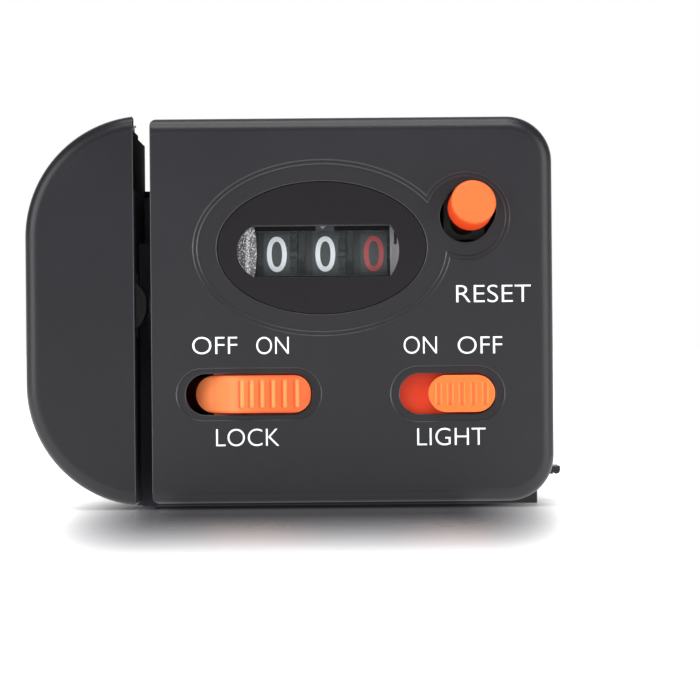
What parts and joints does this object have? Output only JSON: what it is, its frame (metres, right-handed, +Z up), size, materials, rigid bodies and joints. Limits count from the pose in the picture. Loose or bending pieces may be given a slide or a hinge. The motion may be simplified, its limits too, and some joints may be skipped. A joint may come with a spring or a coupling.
{
  "type": "fishing line counter",
  "caption": "Rod mounted line counter with a measuring wheel in an open slot, number drums behind a window, line lock, zero reset and light.",
  "frame": {"origin": "middle of the bounding box on the plane that the part stands on", "axes": "+X right as seen from the display side, +Y away from the display into the part, +Z up along the rod"},
  "size_m": [0.0806, 0.0502, 0.0588],
  "materials": {
    "body": "fine texture",
    "bezel": "smooth",
    "lens": "clear",
    "drum": "smooth",
    "steel": "plain",
    "brass": "plain",
    "nylon": "smooth",
    "rubber": "matt",
    "orange": "satin",
    "inner": "smooth",
    "board": "satin",
    "lamp": "clear",
    "wire": "satin",
    "cell": "plain"
  },
  "bodies": {
    "housing": {"front_cover": "body", "wing_cover": "body", "rear_cover": "body", "cover_screws": "steel", "line_guide_pin": "steel", "display_bezel": "bezel", "display_lens": "lens", "pinion_shaft": "steel", "counter_frame": "nylon", "frame_screws": "steel", "front_bush": "brass", "rear_bush": "brass", "reset_shaft": "steel", "reset_spring": "steel", "light_switch": "steel", "circuit_board": "board", "board_screws": "steel", "lamp": "lamp", "battery_contacts": "brass", "lead_wires": "wire", "rod_saddle": "body", "saddle_pad": "rubber", "saddle_screws": "steel", "clamp_nut": "brass"},
    "wheel": {"measuring_wheel": "inner", "wheel_tyre": "rubber", "wheel_shaft": "steel", "drive_worm": "steel"},
    "units_drum": {"drum_right": "drum", "drum_shaft": "steel", "worm_gear": "brass"},
    "tens_drum": {"drum_middle": "drum"},
    "hundreds_drum": {"drum_left": "drum"},
    "units_pinion": {"pinion_right": "nylon"},
    "tens_pinion": {"pinion_left": "nylon"},
    "line_lock": {"lock_slider": "orange", "lock_arm": "steel", "lock_screws": "steel", "pinch_pin": "steel"},
    "roller": {"pinch_roller": "inner", "pinch_tyre": "rubber"},
    "reset": {"reset_cap": "orange", "reset_lever": "inner"},
    "light": {"light_knob": "orange", "switch_slider": "inner"},
    "battery": {"battery_tray": "body", "battery_cells": "cell", "contact_bridge": "brass"},
    "shoe": {"clamp_shoe": "body", "shoe_pad": "rubber"},
    "thumb": {"thumb_screw": "steel", "thumb_knob": "inner"}
  },
  "joints": [
    {"name": "wheel_spin", "type": "hinge", "parent": "housing", "child": "wheel", "pos_m": [-0.01573, -0.01308, 0.0305], "axis": [0, 1, 0], "continuous": true},
    {"name": "units_drum_spin", "type": "hinge", "parent": "housing", "child": "units_drum", "pos_m": [0.01177, -0.00518, 0.03805], "axis": [1, 0, 0], "continuous": true},
    {"name": "tens_drum_spin", "type": "hinge", "parent": "housing", "child": "tens_drum", "pos_m": [0.0045, -0.00518, 0.03805], "axis": [1, 0, 0], "continuous": true},
    {"name": "hundreds_drum_spin", "type": "hinge", "parent": "housing", "child": "hundreds_drum", "pos_m": [-0.00277, -0.00518, 0.03805], "axis": [1, 0, 0], "continuous": true},
    {"name": "units_pinion_spin", "type": "hinge", "parent": "housing", "child": "units_pinion", "pos_m": [0.0081, -0.00518, 0.02545], "axis": [1, 0, 0], "continuous": true},
    {"name": "tens_pinion_spin", "type": "hinge", "parent": "housing", "child": "tens_pinion", "pos_m": [0.00083, -0.00518, 0.02545], "axis": [1, 0, 0], "continuous": true},
    {"name": "lock_slide", "type": "slide", "parent": "housing", "child": "line_lock", "axis": [-1, 0, 0], "range_m": [0, 0.0022]},
    {"name": "roller_spin", "type": "hinge", "parent": "line_lock", "child": "roller", "pos_m": [-0.0268, -0.01308, 0.0305], "axis": [0, 1, 0], "continuous": true},
    {"name": "reset_press", "type": "hinge", "parent": "housing", "child": "reset", "pos_m": [0.01177, -0.01438, 0.0534], "axis": [1, 0, 0], "range_deg": [0, 11], "stiffness_Nm_per_rad": 0.05, "springref_deg": -5.73},
    {"name": "light_slide", "type": "slide", "parent": "housing", "child": "light", "axis": [-1, 0, 0], "range_m": [0, 0.0041]},
    {"name": "battery_slide", "type": "slide", "parent": "housing", "child": "battery", "axis": [1, 0, 0], "range_m": [0, 0.022]},
    {"name": "shoe_slide", "type": "slide", "parent": "housing", "child": "shoe", "axis": [1, 0, 0], "range_m": [-0.0051, 0.0026]},
    {"name": "thumb_turn", "type": "hinge", "parent": "shoe", "child": "thumb", "pos_m": [0.0182, 0.01762, 0.03], "axis": [1, 0, 0], "range_deg": [-2570, 1285]}
  ],
  "couplings": [
    {"joint": "units_drum_spin", "follows": "wheel_spin", "ratio": -0.04},
    {"joint": "tens_drum_spin", "follows": "wheel_spin", "ratio": -0.004},
    {"joint": "hundreds_drum_spin", "follows": "wheel_spin", "ratio": -0.0004},
    {"joint": "units_pinion_spin", "follows": "wheel_spin", "ratio": 0.01},
    {"joint": "tens_pinion_spin", "follows": "wheel_spin", "ratio": 0.001},
    {"joint": "roller_spin", "follows": "wheel_spin", "ratio": -1.4469},
    {"joint": "shoe_slide", "follows": "thumb_turn", "m_per_rad": 0.00011141}
  ]
}
